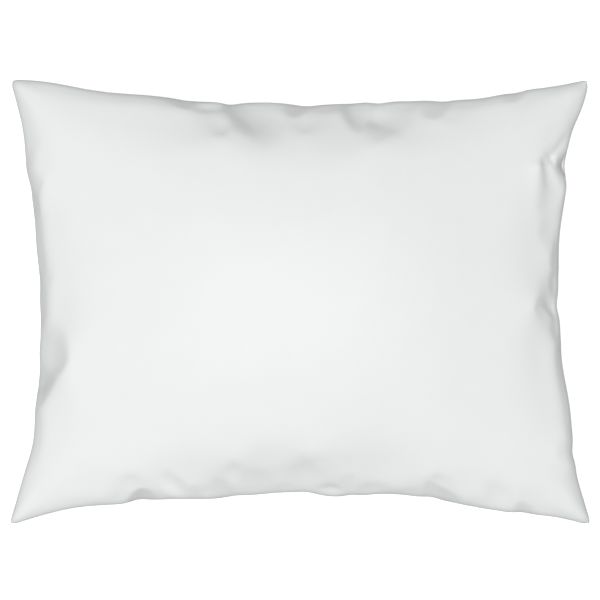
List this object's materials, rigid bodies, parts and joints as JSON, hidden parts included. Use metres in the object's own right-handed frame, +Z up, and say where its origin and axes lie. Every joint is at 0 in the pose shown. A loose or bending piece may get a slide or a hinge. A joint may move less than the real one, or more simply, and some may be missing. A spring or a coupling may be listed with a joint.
{
  "type": "bed pillow",
  "caption": "Rectangular bed pillow lying flat: a smooth white zipped cotton case with knife-edge seams over a fibre-filled inner pillow.",
  "frame": {"origin": "on the surface the pillow lies on, under the middle of its bounding box", "axes": "+X along the long side, towards the zip; +Y along the short side; +Z up through the thickness"},
  "size_m": [0.644, 0.495, 0.155],
  "materials": {
    "case_cotton": "smooth white cotton percale, pressed and slightly puckered at the seams",
    "ticking_cotton": "plain down-proof cotton twill, natural white",
    "polyester_fibre": "loose crimped hollow fibre",
    "sewing_thread": "spun polyester sewing thread",
    "satin_label": "blank polyester satin",
    "zip_tape": "woven polyester herringbone tape",
    "zip_coil": "moulded white nylon monofilament",
    "stop_metal": "white enamelled aluminium",
    "slider_lacquer": "white lacquered zinc casting",
    "pull_lacquer": "white lacquered zinc pressing"
  },
  "bodies": {
    "pillow": {"case_front_panel": "case_cotton", "case_back_panel": "case_cotton", "case_seam_thread_top": "sewing_thread", "case_seam_thread_bottom": "sewing_thread", "case_seam_thread_left": "sewing_thread", "case_seam_thread_right": "sewing_thread", "care_label": "satin_label", "ticking_front": "ticking_cotton", "ticking_back": "ticking_cotton", "ticking_seam_thread": "sewing_thread", "ticking_closing_stitch": "sewing_thread", "fibre_fill": "polyester_fibre", "content_label": "satin_label", "zip_tape_upper": "zip_tape", "zip_tape_lower": "zip_tape", "zip_coil_upper": "zip_coil", "zip_coil_lower": "zip_coil", "zip_stitching_upper": "sewing_thread", "zip_stitching_lower": "sewing_thread", "zip_top_stops": "stop_metal", "zip_bottom_stop": "stop_metal"},
    "slider": {"zip_slider": "slider_lacquer"},
    "pull": {"zip_pull_tab": "pull_lacquer"}
  },
  "joints": [
    {"name": "zip_travel", "type": "hinge", "parent": "pillow", "child": "slider", "pos_m": [1.17959, 0, 0.068], "axis": [0, 0, 1], "range_deg": [0, 20.54]},
    {"name": "pull_swing", "type": "hinge", "parent": "slider", "child": "pull", "pos_m": [0.29267, 0.16584, 0.068], "axis": [0, 0, 1], "range_deg": [0, 150]}
  ]
}
